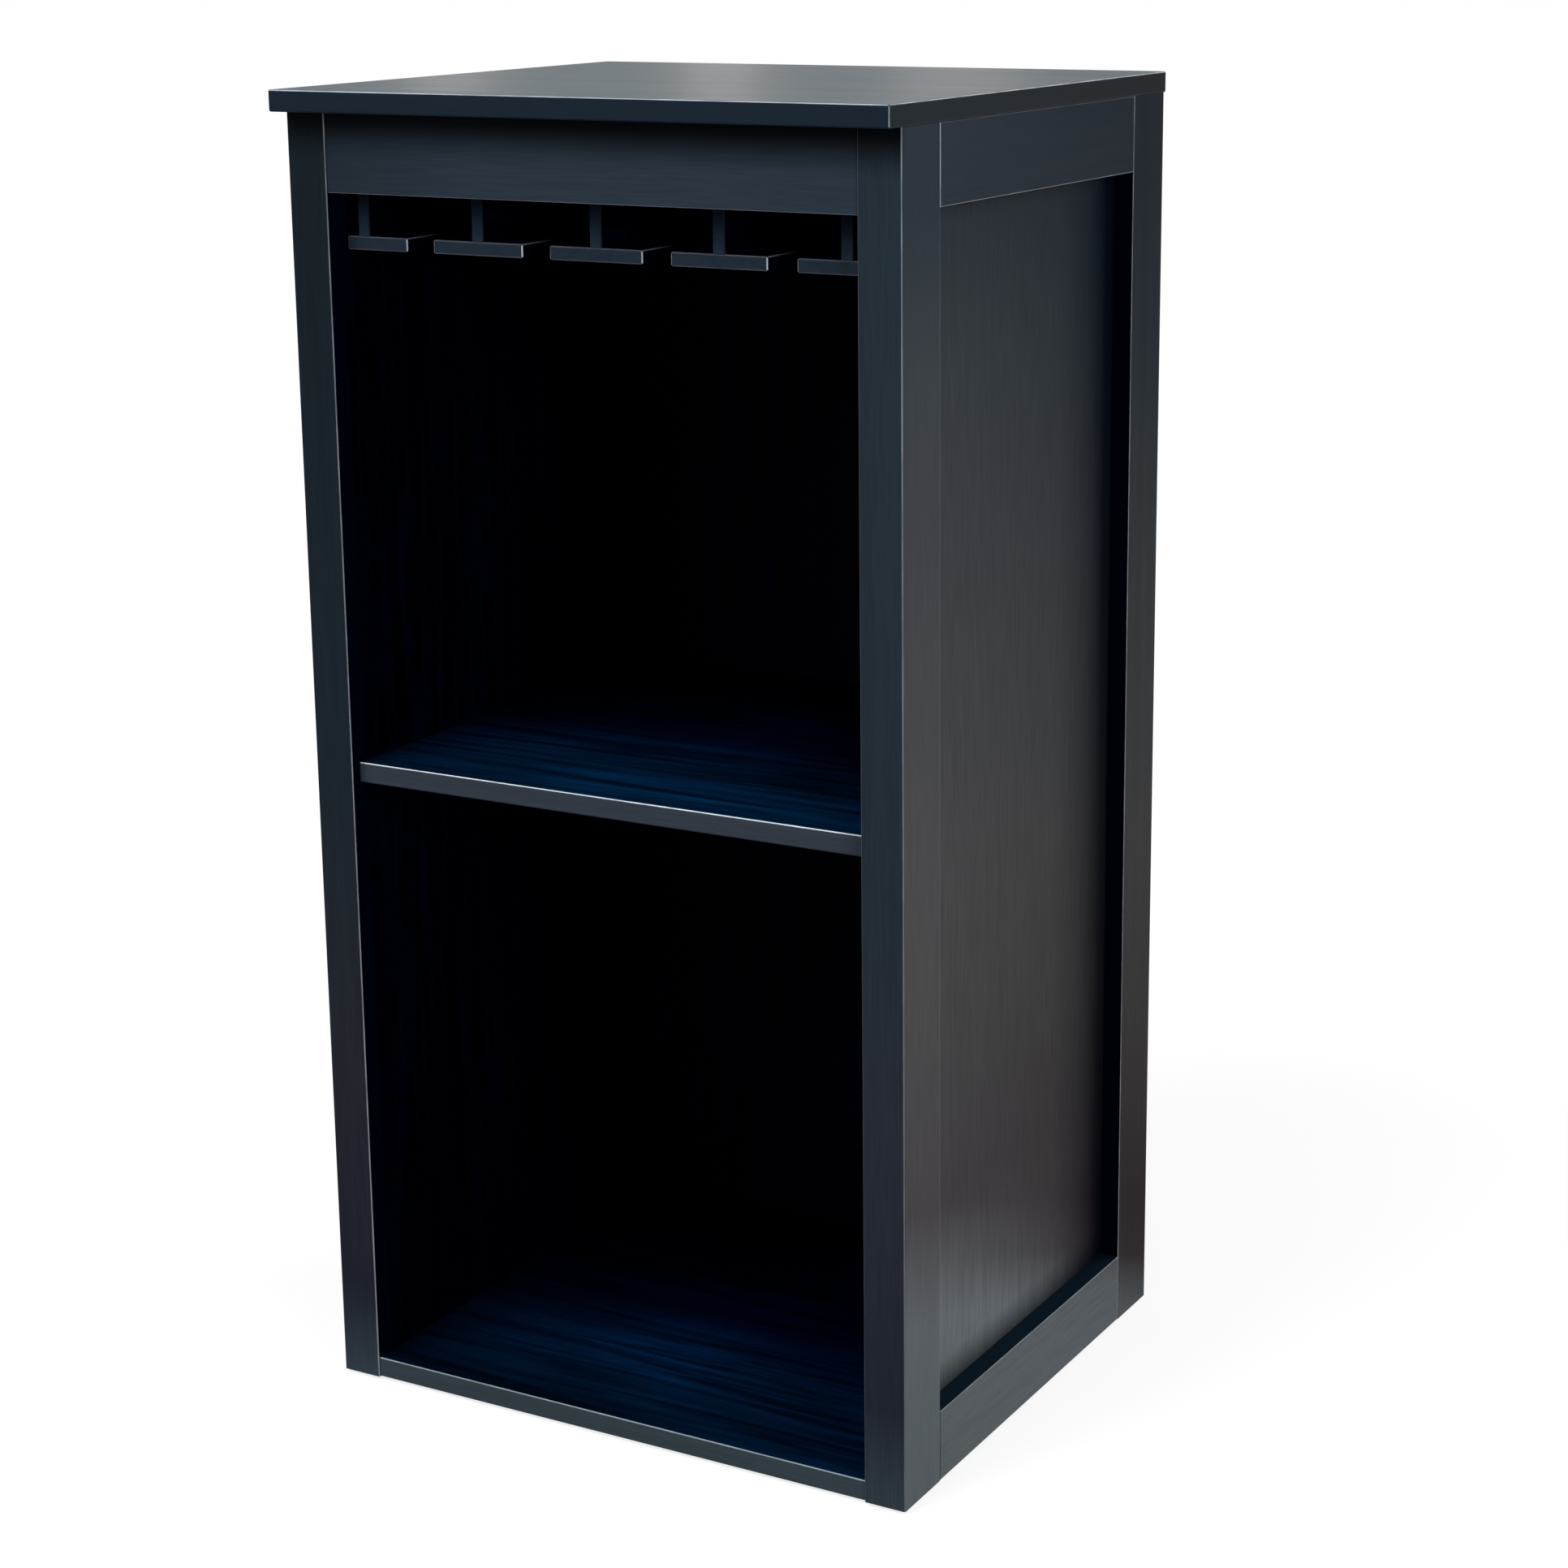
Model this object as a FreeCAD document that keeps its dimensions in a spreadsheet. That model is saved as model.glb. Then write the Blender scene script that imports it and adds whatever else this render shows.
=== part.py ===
import FreeCAD
import Part
import os
import re
import Sketcher

# An open-fronted bar cabinet: four rebated corner posts, framed and panelled sides, a thin top
# board, a bottom board, one loose shelf on pins, and five T rails that hang glasses by the foot.
# Row frame: X to the right seen from the front, Y to the back, Z up, origin on the floor under
# the middle of the whole cabinet. Millimetres.

Vector = FreeCAD.Vector
Constraint = Sketcher.Constraint
X_AXIS = Vector(1, 0, 0)
Y_AXIS = Vector(0, 1, 0)
Z_AXIS = Vector(0, 0, 1)

DRIVING = {
    "carcass_width": 510,
    "carcass_depth": 434,
    "post_length": 1000,
    "post_width": 34,
    "post_depth": 56,
    "panel_thick": 18,
    "back_thick": 3,
    "back_edge_gap": 0.5,
    "front_setback": 1.5,
    "top_thick": 16,
    "top_front_overhang": 19,
    "top_side_overhang": 1,
    "top_back_overhang": 1,
    "apron_thick": 16,
    "apron_drop": 59,
    "side_top_height": 57,
    "side_bottom_height": 56,
    "bottom_thick": 16.5,
    "rack_board_thick": 16,
    "dado_depth": 6,
    "shelf_thick": 16,
    "shelf_level": 508,
    "shelf_setback": 9,
    "shelf_side_gap": 0.5,
    "shelf_back_gap": 1,
    "shelf_lift": 0.3,
    "rack_stem_inset": 18,
    "rack_slot_width": 23.5,
    "rack_end_gap": 1.5,
    "rack_side_gap": 3,
    "flange_thick": 10,
    "stem_thick": 10,
    "stem_height": 32.5,
    "stem_seat": 5,
    "cleat_width": 18,
    "cleat_thick": 18,
    "cleat_inset": 20,
    "tenon_thick": 8,
    "tenon_length": 15,
    "tenon_shoulder": 8,
    "top_ease": 1.5,
    "corner_ease": 1.5,
    "edge_ease": 1,
    "rack_ease": 0.8,
    "fit_gap": 0.1,
    "end_gap": 0.5,
    "glide_radius": 9,
    "glide_thick": 3,
    "glide_inset": 14,
    "nail_radius": 1.5,
    "nail_length": 15,
    "pin_radius": 2.5,
    "pin_depth": 9,
    "pin_head_radius": 3.5,
    "pin_reach": 8,
    "pin_inset": 50,
    "screw_radius": 2,
    "screw_head_radius": 4,
    "top_screw_length": 28,
    "top_screw_inset": 50,
    "back_screw_length": 16,
    "back_screw_inset": 71,
}

doc = FreeCAD.newDocument("bar_cabinet")
sheet = doc.addObject("Spreadsheet::Sheet", "Sheet")
for row, (alias, value) in enumerate(DRIVING.items(), start=1):
    sheet.set(f"A{row}", alias)
    sheet.set(f"B{row}", str(value))
    sheet.setAlias(f"B{row}", alias)
doc.recompute()

# Places that several pieces share, as sums of the sheet's sizes in the row frame.
HALF = "( carcass_width / 2 )"
INNER = f"( {HALF} - post_width )"
RAIL_THICK = "( post_width - panel_thick )"
PANEL_OUT = f"( {INNER} + panel_thick )"
RAIL_MID = f"( {HALF} - {RAIL_THICK} / 2 )"
FRONT = "( ( top_front_overhang - carcass_depth - top_back_overhang ) / 2 )"
BACK = f"( {FRONT} + carcass_depth )"
LIP = "( front_setback + apron_thick )"
LIP_FRONT = f"( {FRONT} + {LIP} )"
LIP_BACK = f"( {BACK} - {LIP} )"
BACK_FACE = f"( {LIP_BACK} - back_thick )"
BOARD_DEPTH = f"( {BACK_FACE} - {LIP_FRONT} )"
BOARD_HALF = f"( {INNER} + dado_depth )"
FOOT = "glide_thick"
POST_TOP = f"( {FOOT} + post_length )"
APRON_LOW = f"( {POST_TOP} - apron_drop )"
APRON_MID = "( front_setback + apron_thick / 2 )"
BOTTOM_TOP = f"( {FOOT} + bottom_thick )"
BOTTOM_MID = f"( {FOOT} + bottom_thick / 2 )"
SHELF_LOW = f"( {FOOT} + shelf_level - shelf_thick )"
PIN_MID = f"( {SHELF_LOW} - shelf_lift - pin_head_radius )"
RACK_BOARD_TOP = f"( {APRON_LOW} + rack_board_thick )"
FLANGE_TOP = f"( {APRON_LOW} - stem_height )"
FLANGE_LOW = f"( {FLANGE_TOP} - flange_thick )"
RACK_PLACES = range(-2, 3)
RACK_PITCH = f"( ( {INNER} - rack_stem_inset ) / {RACK_PLACES[-1]} )"
FLANGE_WIDTH = f"( {RACK_PITCH} - rack_slot_width )"
RACK_FRONT = f"( {LIP_FRONT} + rack_end_gap )"
RACK_BACK = f"( {BACK_FACE} - rack_end_gap )"
CLEAT_LOW = f"( {POST_TOP} - cleat_thick )"
CLEAT_MID = f"( {INNER} - cleat_width / 2 )"
GLIDE_X = f"( ( {BOARD_HALF} + {PANEL_OUT} ) / 2 )"
COUNTERSINK = "( screw_head_radius - screw_radius )"
SCREW_HOLE = "( screw_radius + fit_gap )"

SIDES = {"left": -1, "right": 1}
ENDS = {"front": -1, "rear": 1}
SIDE_RAILS = {
    "top": (f"( {POST_TOP} - side_top_height )", "side_top_height"),
    "bottom": (FOOT, "side_bottom_height"),
}
CROSS_Y = {"front": f"( {FRONT} + {APRON_MID} )", "rear": f"( {BACK} - {APRON_MID} )"}
JOINT_Y = {"front": f"( {FRONT} + post_depth )", "rear": f"( {BACK} - post_depth )"}
PIN_Y = [f"( {LIP_FRONT} + pin_inset )", f"( {BACK_FACE} - pin_inset )"]
GLIDE_Y = [f"( {LIP_FRONT} + glide_inset )", f"( {BACK_FACE} - glide_inset )"]
CLEAT_Y = [f"( {LIP_FRONT} + cleat_inset )", f"( {BACK_FACE} - cleat_inset )"]
TOP_SCREW_Y = [f"( {CLEAT_Y[0]} + top_screw_inset )", f"( {CLEAT_Y[1]} - top_screw_inset )"]
BACK_SCREW_X = [f"( {place} * ( {INNER} - back_screw_inset ) )" for place in range(-1, 2)]

parts = []


def full(text):
    """The expression with each of the sheet's sizes written as a reference to its cell."""
    def name(word):
        return f"Sheet.{word.group()}" if word.group() in DRIVING else word.group()

    return re.sub(r"[a-z_]+", name, text)


def bind(thing, prop, text):
    thing.setExpression(prop, full(text))


def number(text):
    return float(sheet.evalExpression(full(text)))


def near(a, b):
    """Whether two places are the same, to a share of the finest eased edge."""
    return abs(a - b) < number("rack_ease") / 100


def side(sign, distance):
    return f"( {sign} * {distance} )"


def plane_sketch(body, name, plane, offset):
    """A sketch on one of a body's own planes, moved along the plane's normal."""
    made = body.newObject("Sketcher::SketchObject", name)
    role = f"{plane}_Plane"
    base = [item for item in body.Origin.OriginFeatures if item.Role == role][0]
    made.AttachmentSupport = [(base, "")]
    made.MapMode = "FlatFace"
    bind(made, "AttachmentOffset.Base.z", offset)
    return made


def hold(made, kind, name, value, *where):
    """A named dimension of a sketch, bound to the sheet."""
    made.renameConstraint(made.addConstraint(Constraint(kind, *where, number(value))), name)
    bind(made, f"Constraints.{name}", value)


def outline(made, places):
    """A closed run of straight lines through places, each an (across, along) pair."""
    first = made.GeometryCount
    points = [Vector(number(across), number(along), 0) for across, along in places]
    for start, end in zip(points, points[1:] + points[:1]):
        made.addGeometry(Part.LineSegment(start, end), False)
    for step, (across, along) in enumerate(places):
        line = first + step
        following = first + (step + 1) % len(places)
        made.addConstraint(Constraint("Coincident", line, 2, following, 1))
        if across == "0":
            made.addConstraint(Constraint("PointOnObject", line, 1, -2))
        else:
            hold(made, "DistanceX", f"across_{line}", across, -1, 1, line, 1)
        if along == "0":
            made.addConstraint(Constraint("PointOnObject", line, 1, -1))
        else:
            hold(made, "DistanceY", f"along_{line}", along, -1, 1, line, 1)


def circle(made, across, along, radius):
    centre = Vector(number(across), number(along), 0)
    index = made.addGeometry(Part.Circle(centre, Z_AXIS, number(radius)), False)
    hold(made, "Radius", f"radius_{index}", radius, index)
    hold(made, "DistanceX", f"across_{index}", across, -1, 1, index, 3)
    hold(made, "DistanceY", f"along_{index}", along, -1, 1, index, 3)


class Piece:
    """One solid of the cabinet, drawn from a corner of its own at a place in the row frame."""

    AXES = {"XY": (0, 1, 2, 1), "XZ": (0, 2, 1, -1), "YZ": (1, 2, 0, 1)}

    def __init__(self, name, x, y, z):
        self.name = name
        self.corner = (x, y, z)
        self.body = doc.addObject("PartDesign::Body", name)
        self.body.Label = name
        for axis, place in zip("xyz", self.corner):
            bind(self.body, f"Placement.Base.{axis}", place)
        parts.append(self.body)

    def local(self, place, axis):
        return f"( {place} - {self.corner[axis]} )"

    def sketch(self, plane, level):
        """A sketch across one of the row frame's axes, at a level on that axis."""
        normal, sign = self.AXES[plane][2:]
        offset = f"{sign} * {self.local(level, normal)}"
        return plane_sketch(self.body, f"{self.name}_sketch", plane, offset)

    def spread(self, made, plane, boxes):
        """Draws boxes, each a low and a high pair of places in the row frame, in a sketch."""
        across, along = self.AXES[plane][:2]
        for low, high in boxes:
            left, right = self.local(low[0], across), self.local(high[0], across)
            under, over = self.local(low[1], along), self.local(high[1], along)
            outline(made, [(left, under), (right, under), (right, over), (left, over)])

    def settle(self, feature):
        doc.recompute()
        self.body.Tip = feature
        return feature

    def add(self, plane, made, height, toward):
        """Fills a sketch up or down its axis."""
        feature = self.body.newObject("PartDesign::Pad", f"{self.name}_pad")
        feature.Profile = made
        feature.Reversed = toward * self.AXES[plane][3] < 0
        bind(feature, "Length", height)
        return self.settle(feature)

    def cut(self, plane, made, depth, toward):
        """Cuts a sketch away up or down its axis, and stops if it meets no wood."""
        feature = self.body.newObject("PartDesign::Pocket", f"{self.name}_pocket")
        feature.Profile = made
        feature.Reversed = toward * self.AXES[plane][3] > 0
        before = self.body.Shape.Volume
        bind(feature, "Length", depth)
        self.settle(feature)
        if not feature.Shape.Volume < before:
            raise ValueError(f"a cut in {self.name} takes nothing away")
        return feature

    def bore(self, plane, level, spots, radius, depth, toward):
        """Cuts a row of round holes whose mouths lie at a level."""
        across, along = self.AXES[plane][:2]
        made = self.sketch(plane, level)
        for spot in spots:
            circle(made, self.local(spot[0], across), self.local(spot[1], along), radius)
        return self.cut(plane, made, depth, toward)

    def countersink(self, plane, level, spots, depth, toward):
        """Screw holes right through, with a cone at the mouth of each for the head."""
        normal = self.AXES[plane][2]
        self.bore(plane, level, spots, SCREW_HOLE, depth, toward)
        mouth = number(self.local(level, normal))

        def rim(edge):
            is_round = isinstance(edge.Curve, Part.Circle)
            return is_round and near(edge.CenterOfMass[normal], mouth)

        self.ease("Chamfer", COUNTERSINK, rim)

    def ease(self, kind, size, wanted):
        """Rounds or bevels the edges of the body for which wanted(edge) holds."""
        tip = self.body.Tip
        names = [f"Edge{i}" for i, edge in enumerate(tip.Shape.Edges, start=1) if wanted(edge)]
        feature = self.body.newObject(f"PartDesign::{kind}", f"{self.name}_ease")
        feature.Base = (tip, names)
        bind(feature, "Radius" if kind == "Fillet" else "Size", size)
        return self.settle(feature)


def board(name, corner, size):
    """A plain board: its low corner in the row frame, and its size along X, Y and Z."""
    piece = Piece(name, *corner)
    width, depth, height = size
    made = piece.sketch("XY", corner[2])
    outline(made, [("0", "0"), (width, "0"), (width, depth), ("0", depth)])
    piece.add("XY", made, height, 1)
    return piece


def along(axis):
    """Picks straight edges parallel to an axis."""
    def wanted(edge):
        return isinstance(edge.Curve, Part.Line) and abs(edge.Curve.Direction.dot(axis)) > 0.999

    return wanted


def along_at(axis, index, place):
    """Picks straight edges parallel to an axis that lie at a local place on another."""
    parallel = along(axis)

    def wanted(edge):
        return parallel(edge) and near(edge.CenterOfMass[index], number(place))

    return wanted


def low_x(sign, inner, thick):
    """The low X of a piece that reaches outward from a distance either side of the middle."""
    return inner if sign > 0 else f"( 0 - {inner} - {thick} )"


def tenon_box(middle, low, height, gap):
    """The section of a tenon across its rail's thickness and height, or of its mortise."""
    half = f"( tenon_thick / 2 + {gap} )"
    under = f"( {low} + tenon_shoulder - {gap} )"
    over = f"( {low} + {height} - tenon_shoulder + {gap} )"
    return (f"( {middle} - {half} )", under), (f"( {middle} + {half} )", over)


def post(side_name, end_name):
    """A corner post, cut away behind a lip so that the side panel seats in it."""
    across = SIDES[side_name]
    end = ENDS[end_name]
    corner = (side(across, HALF), FRONT if end < 0 else BACK, FOOT)
    piece = Piece(f"{end_name}_{side_name}_post", *corner)
    width = side(-across, "post_width")
    leg = side(-across, RAIL_THICK)
    lip = side(-end, LIP)
    depth = side(-end, "post_depth")
    made = piece.sketch("XY", FOOT)
    outline(made, [("0", "0"), (width, "0"), (width, lip), (leg, lip), (leg, depth), ("0", depth)])
    piece.add("XY", made, "post_length", 1)
    piece.ease("Fillet", "corner_ease", along_at(Z_AXIS, 1, "0"))
    outside = along_at(Z_AXIS, 0, "0")
    beside_rail = along_at(Z_AXIS, 1, depth)
    piece.ease("Fillet", "edge_ease", lambda edge: outside(edge) and beside_rail(edge))
    mortise = "( tenon_length + end_gap )"
    middle = side(across, RAIL_MID)
    boxes = [tenon_box(middle, low, height, "fit_gap") for low, height in SIDE_RAILS.values()]
    made = piece.sketch("XZ", JOINT_Y[end_name])
    piece.spread(made, "XZ", boxes)
    piece.cut("XZ", made, mortise, end)
    made = piece.sketch("YZ", side(across, INNER))
    box = tenon_box(CROSS_Y[end_name], APRON_LOW, "apron_drop", "fit_gap")
    piece.spread(made, "YZ", [box])
    piece.cut("YZ", made, mortise, across)


def cross_rail(name, low_y, end_name):
    """The apron, or its twin at the rear, tenoned between two posts under the top board."""
    width = f"( 2 * {INNER} )"
    corner = (side(-1, INNER), low_y, APRON_LOW)
    piece = board(name, corner, (width, "apron_thick", "apron_drop"))
    piece.ease("Fillet", "edge_ease", along_at(X_AXIS, 2, "0"))
    for sign in SIDES.values():
        made = piece.sketch("YZ", side(sign, INNER))
        piece.spread(made, "YZ", [tenon_box(CROSS_Y[end_name], APRON_LOW, "apron_drop", "0")])
        piece.add("YZ", made, "tenon_length", sign)


def side_rail(side_name, rail_name):
    """A rail tenoned between two posts, flush with their outer faces, its own edges eased."""
    across = SIDES[side_name]
    low, height = SIDE_RAILS[rail_name]
    length = "( carcass_depth - 2 * post_depth )"
    corner = (low_x(across, PANEL_OUT, RAIL_THICK), JOINT_Y["front"], low)
    piece = board(f"{side_name}_{rail_name}_rail", corner, (RAIL_THICK, length, height))
    outer = number(RAIL_THICK if across > 0 else "0")
    piece.ease("Fillet", "edge_ease", lambda edge: near(edge.CenterOfMass.x, outer))
    for end_name, end in ENDS.items():
        made = piece.sketch("XZ", JOINT_Y[end_name])
        piece.spread(made, "XZ", [tenon_box(side(across, RAIL_MID), low, height, "0")])
        piece.add("XZ", made, "tenon_length", end)


def side_panel(side_name):
    """The panel in the posts' rebates, grooved inside for the boards and bored for pins."""
    across = SIDES[side_name]
    corner = (low_x(across, INNER, "panel_thick"), LIP_FRONT, FOOT)
    piece = board(f"{side_name}_side_panel", corner, ("panel_thick", BOARD_DEPTH, "post_length"))
    face = side(across, INNER)
    grooves = [((LIP_FRONT, FOOT), (BACK_FACE, BOTTOM_TOP)),
               ((LIP_FRONT, APRON_LOW), (BACK_FACE, RACK_BOARD_TOP))]
    made = piece.sketch("YZ", face)
    piece.spread(made, "YZ", grooves)
    piece.cut("YZ", made, "( dado_depth + fit_gap )", across)
    spots = [(y, PIN_MID) for y in PIN_Y]
    piece.bore("YZ", face, spots, "( pin_radius + fit_gap )", "( pin_depth + end_gap )", across)
    spots = [(side(across, GLIDE_X), y) for y in GLIDE_Y]
    piece.bore("XY", FOOT, spots, "( nail_radius + fit_gap )", "( nail_length + end_gap )", 1)


def bottom_board():
    """The lowest board, let into the side panels and notched to pass between the front posts."""
    piece = Piece("bottom_board", side(-1, BOARD_HALF), f"( {FRONT} + front_setback )", FOOT)
    notch = "dado_depth"
    right = f"( 2 * {BOARD_HALF} )"
    inner_right = f"( {right} - dado_depth )"
    rear = piece.local(BACK_FACE, 1)
    lip = piece.local(LIP_FRONT, 1)
    made = piece.sketch("XY", FOOT)
    outline(made, [(notch, "0"), (inner_right, "0"), (inner_right, lip), (right, lip),
                   (right, rear), ("0", rear), ("0", lip), (notch, lip)])
    piece.add("XY", made, "bottom_thick", 1)
    piece.ease("Fillet", "corner_ease", along_at(X_AXIS, 1, "0"))
    spots = [(x, BOTTOM_MID) for x in BACK_SCREW_X]
    depth = "( back_screw_length - back_thick + end_gap )"
    piece.bore("XZ", BACK_FACE, spots, SCREW_HOLE, depth, -1)


def rack_board():
    """The board over the rack, let into the side panels and grooved below for the stems."""
    corner = (side(-1, BOARD_HALF), LIP_FRONT, APRON_LOW)
    size = (f"( 2 * {BOARD_HALF} )", BOARD_DEPTH, "rack_board_thick")
    piece = board("rack_board", corner, size)
    grooves = []
    for place in RACK_PLACES:
        centre = f"{place} * {RACK_PITCH}"
        low = (f"( {centre} - stem_thick / 2 )", APRON_LOW)
        high = (f"( {centre} + stem_thick / 2 )", f"( {APRON_LOW} + stem_seat )")
        grooves.append((low, high))
    made = piece.sketch("XZ", LIP_FRONT)
    piece.spread(made, "XZ", grooves)
    piece.cut("XZ", made, BOARD_DEPTH, 1)


def back_panel():
    """A thin sheet held between the rear posts' lips and the side panels' rear edges."""
    half = f"( {PANEL_OUT} - back_edge_gap )"
    corner = (side(-1, half), BACK_FACE, f"( {FOOT} + back_edge_gap )")
    size = (f"( 2 * {half} )", "back_thick", "( post_length - 2 * back_edge_gap )")
    piece = board("back_panel", corner, size)
    spots = [(x, BOTTOM_MID) for x in BACK_SCREW_X]
    piece.countersink("XZ", LIP_BACK, spots, "back_thick", -1)


def top_board():
    half = f"( {HALF} + top_side_overhang )"
    corner = (side(-1, half), f"( {FRONT} - top_front_overhang )", POST_TOP)
    depth = "( carcass_depth + top_front_overhang + top_back_overhang )"
    piece = board("top_board", corner, (f"( 2 * {half} )", depth, "top_thick"))
    piece.ease("Fillet", "top_ease", lambda edge: True)
    spots = [(side(sign, CLEAT_MID), y) for sign in SIDES.values() for y in TOP_SCREW_Y]
    depth = "( top_screw_length - cleat_thick + end_gap )"
    piece.bore("XY", POST_TOP, spots, SCREW_HOLE, depth, 1)


def top_cleat(side_name):
    """A batten inside a side panel, through which the top board is screwed from below."""
    across = SIDES[side_name]
    corner = (low_x(across, f"( {INNER} - cleat_width )", "cleat_width"), CLEAT_Y[0], CLEAT_LOW)
    size = ("cleat_width", f"( {CLEAT_Y[1]} - {CLEAT_Y[0]} )", "cleat_thick")
    piece = board(f"{side_name}_top_cleat", corner, size)
    spots = [(side(across, CLEAT_MID), y) for y in TOP_SCREW_Y]
    piece.countersink("XY", CLEAT_LOW, spots, "cleat_thick", 1)


def middle_shelf():
    half = f"( {INNER} - shelf_side_gap )"
    corner = (side(-1, half), f"( {FRONT} + shelf_setback )", SHELF_LOW)
    depth = f"( {BACK_FACE} - shelf_back_gap - {FRONT} - shelf_setback )"
    piece = board("middle_shelf", corner, (f"( 2 * {half} )", depth, "shelf_thick"))
    piece.ease("Fillet", "corner_ease", along(X_AXIS))


def rack_rail(place):
    """A T rail: a flat flange that the glasses' feet rest on, hung from a stem over its middle."""
    count = place - RACK_PLACES[0] + 1
    centre = f"( {place} * {RACK_PITCH} )"
    length = f"( {RACK_BACK} - {RACK_FRONT} )"
    wall = f"( {INNER} - rack_side_gap )"
    left = f"( {centre} - {FLANGE_WIDTH} / 2 )" if place > RACK_PLACES[0] else side(-1, wall)
    right = f"( {centre} + {FLANGE_WIDTH} / 2 )" if place < RACK_PLACES[-1] else wall
    size = (f"( {right} - {left} )", length, "flange_thick")
    flange = board(f"rack_flange_{count}", (left, RACK_FRONT, FLANGE_LOW), size)
    flange.ease("Chamfer", "rack_ease", lambda edge: True)
    corner = (f"( {centre} - stem_thick / 2 )", RACK_FRONT, FLANGE_TOP)
    size = ("stem_thick", length, "( stem_height + stem_seat )")
    stem = board(f"rack_stem_{count}", corner, size)
    stem.ease("Chamfer", "rack_ease", along(Z_AXIS))


class Item:
    """A small round part drawn once, lengthwise along X, and set in place by links to it."""

    def __init__(self, name, profile):
        """The profile is half of the part's outline, in (along, radius) pairs."""
        self.name = name
        self.body = doc.addObject("PartDesign::Body", f"{name}_item")
        self.links = []
        made = plane_sketch(self.body, f"{name}_profile", "XY", "0")
        outline(made, profile)
        feature = self.body.newObject("PartDesign::Revolution", f"{name}_turned")
        feature.Profile = made
        feature.ReferenceAxis = (made, ["H_Axis"])
        feature.Angle = 360
        doc.recompute()

    def put(self, place, length_axis):
        """One more of the part, from a place in the row frame along an axis."""
        link = doc.addObject("App::Link", f"{self.name}_link")
        link.LinkedObject = self.body
        turn = FreeCAD.Rotation(X_AXIS, length_axis)
        link.LinkPlacement = FreeCAD.Placement(Vector(), turn)
        for axis, text in zip("xyz", place):
            bind(link, f"LinkPlacement.Base.{axis}", text)
        self.links.append(link)

    def group(self):
        made = doc.addObject("Part::Compound", self.name)
        made.Label = self.name
        made.Links = self.links
        parts.append(made)


def screw(name, length):
    """A countersunk wood screw, from the top of its head."""
    return Item(name, [("0", "0"), (length, "0"), (length, "screw_radius"),
                       (COUNTERSINK, "screw_radius"), ("0", "screw_head_radius")])


def shelf_pins():
    end = "( pin_depth + pin_reach )"
    pin = Item("shelf_pins", [("0", "0"), (end, "0"), (end, "pin_head_radius"),
                              ("pin_depth", "pin_head_radius"), ("pin_depth", "pin_radius"),
                              ("0", "pin_radius")])
    for sign in SIDES.values():
        for y in PIN_Y:
            pin.put((side(sign, f"( {INNER} + pin_depth )"), y, PIN_MID), X_AXIS * -sign)
    pin.group()


def foot_glides():
    """Round glides nailed up into the side panels beside the posts."""
    end = "( glide_thick + nail_length )"
    glide = Item("foot_glides", [("0", "0"), (end, "0"), (end, "nail_radius"),
                                 ("glide_thick", "nail_radius"), ("glide_thick", "glide_radius"),
                                 ("0", "glide_radius")])
    for sign in SIDES.values():
        for y in GLIDE_Y:
            glide.put((side(sign, GLIDE_X), y, "0"), Z_AXIS)
    glide.group()


def top_screws():
    made = screw("top_screws", "top_screw_length")
    for sign in SIDES.values():
        for y in TOP_SCREW_Y:
            made.put((side(sign, CLEAT_MID), y, CLEAT_LOW), Z_AXIS)
    made.group()


def back_screws():
    made = screw("back_screws", "back_screw_length")
    for x in BACK_SCREW_X:
        made.put((x, LIP_BACK, BOTTOM_MID), Y_AXIS * -1)
    made.group()


def check(made):
    """Stops if anything in the document failed, or a piece isn't whole solids."""
    for item in doc.Objects:
        if "Invalid" in item.State or "Error" in item.State:
            raise ValueError(f"{item.Name} failed: {item.State}")
    for item in made:
        shape = item.Shape
        if shape.isNull() or not shape.isValid() or not shape.Solids:
            raise ValueError(f"{item.Label} is not a valid solid")


for end_name in ENDS:
    for side_name in SIDES:
        post(side_name, end_name)
cross_rail("front_apron", f"( {FRONT} + front_setback )", "front")
cross_rail("rear_top_rail", LIP_BACK, "rear")
for side_name in SIDES:
    side_panel(side_name)
    top_cleat(side_name)
    for rail_name in SIDE_RAILS:
        side_rail(side_name, rail_name)
bottom_board()
rack_board()
back_panel()
top_board()
middle_shelf()
for place in RACK_PLACES:
    rack_rail(place)
shelf_pins()
foot_glides()
top_screws()
back_screws()
doc.recompute()
check(parts)

os.makedirs("parts", exist_ok=True)
for item in parts:
    item.Shape.exportStep(f"parts/{item.Label}.step")
    print(item.Label, len(item.Shape.Solids), "solids", round(item.Shape.Volume))
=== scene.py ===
import itertools
import math

import bmesh
import bpy
from mathutils import Matrix, Vector


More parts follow.
